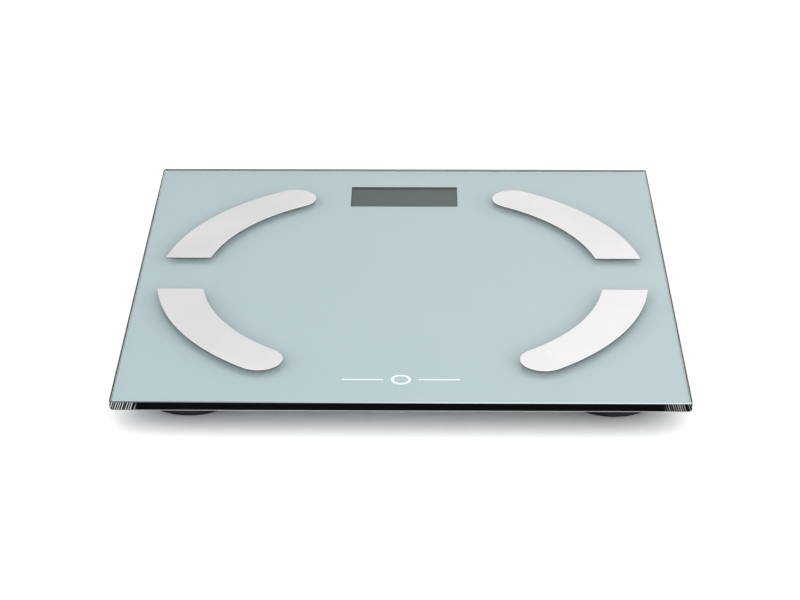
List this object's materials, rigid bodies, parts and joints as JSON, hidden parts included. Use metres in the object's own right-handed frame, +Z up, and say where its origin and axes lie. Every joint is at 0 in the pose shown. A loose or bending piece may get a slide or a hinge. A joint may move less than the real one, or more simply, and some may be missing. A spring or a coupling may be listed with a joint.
{
  "type": "digital bathroom scale",
  "caption": "Slim square glass bathroom scale with curved steel electrodes on top, a display behind the glass and low load-cell feet.",
  "frame": {"origin": "on the floor, under the middle of the glass platform", "axes": "+Z up, -Y the side the user steps on from, +Y the side with the display, +X to the user's right"},
  "size_m": [0.3, 0.3, 0.021],
  "materials": {
    "clear_glass": "clear tempered float glass with polished arrises",
    "backing_print": "pale grey-green print on a thin film, seen through the glass",
    "electrode_steel": "bright fine-brushed stainless steel",
    "zinc_steel": "zinc-plated fastener steel",
    "load_cell_steel": "stamped spring steel",
    "cell_can": "plated button-cell can",
    "nickel_strip": "nickel-plated contact strip",
    "black_abs": "black ABS with a fine moulded grain",
    "grey_abs": "dark grey ABS",
    "black_rubber": "black rubber",
    "adhesive_tape": "black foam adhesive tape",
    "display_glass": "blank grey liquid-crystal display",
    "zebra_silicone": "striped silicone connector strip",
    "board_laminate": "green solder-masked laminate",
    "chip_epoxy": "black epoxy drop",
    "white_insulation": "white PVC insulation",
    "red_insulation": "red PVC insulation"
  },
  "bodies": {
    "platform": {"glass_platform": "clear_glass", "printed_backing_film": "backing_print", "electrode_rear_left": "electrode_steel", "electrode_tape_rear_left": "adhesive_tape", "electrode_nut_rear_left": "zinc_steel", "electrode_rear_right": "electrode_steel", "electrode_tape_rear_right": "adhesive_tape", "electrode_nut_rear_right": "zinc_steel", "electrode_front_left": "electrode_steel", "electrode_tape_front_left": "adhesive_tape", "electrode_nut_front_left": "zinc_steel", "electrode_front_right": "electrode_steel", "electrode_tape_front_right": "adhesive_tape", "electrode_nut_front_right": "zinc_steel", "pod_housing": "black_abs", "pod_seal_tape": "adhesive_tape", "lcd_panel": "display_glass", "lcd_bezel_frame": "grey_abs", "zebra_strip": "zebra_silicone", "circuit_board": "board_laminate", "controller_chip": "chip_epoxy", "board_screw_left": "zinc_steel", "board_screw_right": "zinc_steel", "coin_cell": "cell_can", "cell_contact_positive": "nickel_strip", "cell_contact_negative": "nickel_strip", "tact_switch": "black_abs", "foot_holder_rear_left": "black_abs", "foot_holder_tape_rear_left": "adhesive_tape", "load_cell_rear_left": "load_cell_steel", "foot_holder_rear_right": "black_abs", "foot_holder_tape_rear_right": "adhesive_tape", "load_cell_rear_right": "load_cell_steel", "foot_holder_front_left": "black_abs", "foot_holder_tape_front_left": "adhesive_tape", "load_cell_front_left": "load_cell_steel", "foot_holder_front_right": "black_abs", "foot_holder_tape_front_right": "adhesive_tape", "load_cell_front_right": "load_cell_steel", "load_cell_lead_rear_left": "white_insulation", "electrode_lead_rear_left": "red_insulation", "load_cell_lead_rear_right": "white_insulation", "electrode_lead_rear_right": "red_insulation", "load_cell_lead_front_left": "white_insulation", "electrode_lead_front_left": "red_insulation", "load_cell_lead_front_right": "white_insulation", "electrode_lead_front_right": "red_insulation", "wire_channel_left": "grey_abs", "wire_channel_right": "grey_abs"},
    "foot_rear_left": {"foot_cap_rear_left": "black_abs", "foot_pad_rear_left": "black_rubber"},
    "foot_rear_right": {"foot_cap_rear_right": "black_abs", "foot_pad_rear_right": "black_rubber"},
    "foot_front_left": {"foot_cap_front_left": "black_abs", "foot_pad_front_left": "black_rubber"},
    "foot_front_right": {"foot_cap_front_right": "black_abs", "foot_pad_front_right": "black_rubber"},
    "unit_button": {"unit_button": "grey_abs", "switch_plunger": "grey_abs"},
    "battery_door": {"battery_door": "black_abs"}
  },
  "joints": [
    {"name": "foot_rear_left_play", "type": "slide", "parent": "platform", "child": "foot_rear_left", "axis": [0, 0, 1], "range_m": [-0.0008, 0]},
    {"name": "foot_rear_right_play", "type": "slide", "parent": "platform", "child": "foot_rear_right", "axis": [0, 0, 1], "range_m": [-0.0008, 0]},
    {"name": "foot_front_left_play", "type": "slide", "parent": "platform", "child": "foot_front_left", "axis": [0, 0, 1], "range_m": [-0.0008, 0]},
    {"name": "foot_front_right_play", "type": "slide", "parent": "platform", "child": "foot_front_right", "axis": [0, 0, 1], "range_m": [-0.0008, 0]},
    {"name": "unit_button_press", "type": "slide", "parent": "platform", "child": "unit_button", "axis": [0, 0, 1], "range_m": [0, 0.0005], "stiffness_N_per_m": 2000, "springref_m": -0.0002},
    {"name": "battery_door_slide", "type": "slide", "parent": "platform", "child": "battery_door", "axis": [0, -1, 0], "range_m": [0, 0.021]}
  ]
}
